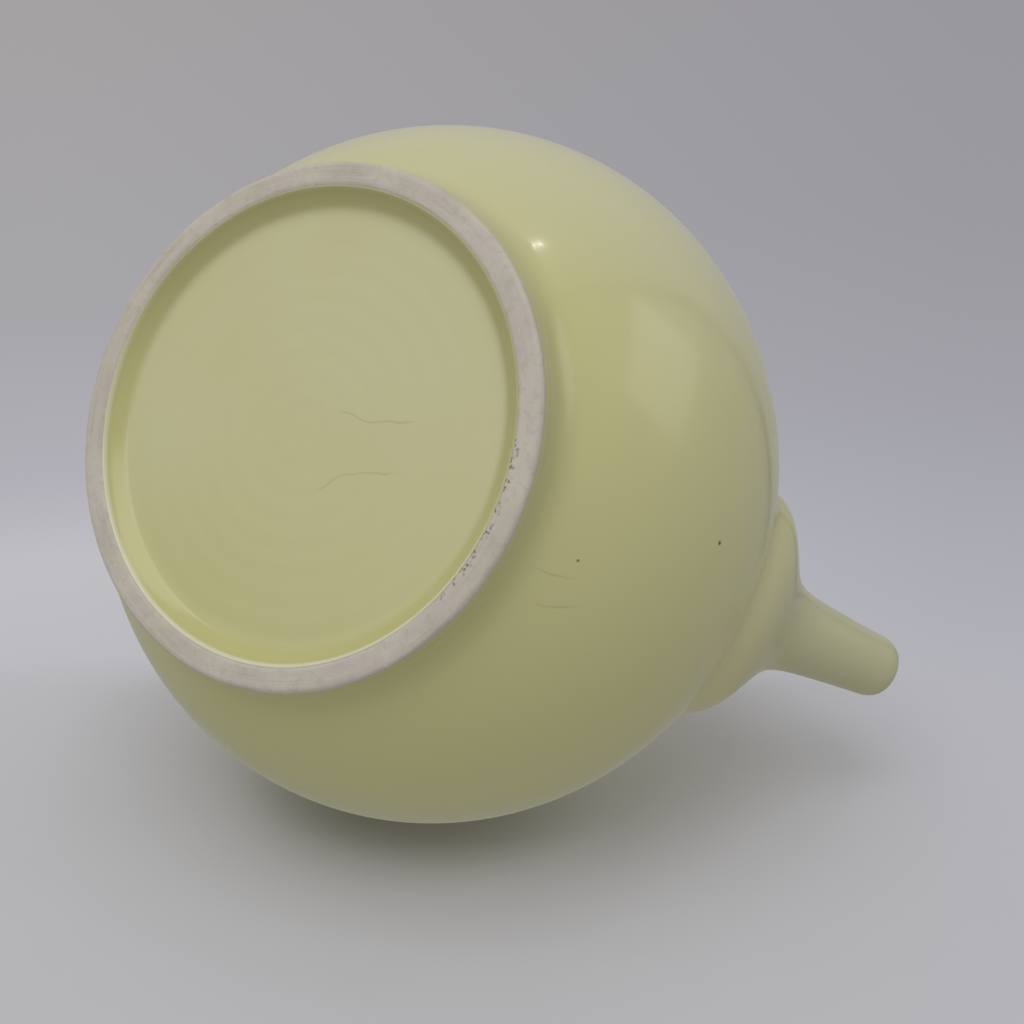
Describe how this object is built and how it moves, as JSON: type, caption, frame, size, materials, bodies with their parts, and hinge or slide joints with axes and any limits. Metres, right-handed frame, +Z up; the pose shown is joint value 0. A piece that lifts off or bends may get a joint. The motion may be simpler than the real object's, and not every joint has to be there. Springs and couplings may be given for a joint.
{
  "type": "teapot",
  "caption": "Ball-shaped glazed earthenware teapot with foot ring, swelling-root spout, ear handle and a loose domed lid with knob.",
  "frame": {"origin": "centre of the foot ring's tread, on the plane the pot stands on", "axes": "+Z up along the pot's axis towards the lid, +X towards the spout, the handle is at -X"},
  "size_m": [0.2046, 0.156, 0.1395],
  "materials": {
    "glaze": "glossy pale yellow glaze",
    "lid_glaze": "glossy pale yellow glaze",
    "biscuit": "bare fired clay, matte and slightly rough"
  },
  "bodies": {
    "pot": {"body_shell": "glaze", "foot_ring": "biscuit", "mouth_rim": "glaze", "spout": "glaze", "strainer": "glaze", "handle": "glaze"},
    "lid": {"lid_dome": "lid_glaze", "lid_collar": "lid_glaze", "lid_lug": "lid_glaze", "lid_knob": "lid_glaze"}
  },
  "joints": [
    {"name": "lid_lift", "type": "slide", "parent": "pot", "child": "lid", "axis": [0, 0, 1], "range_m": [0, 0.08]}
  ]
}
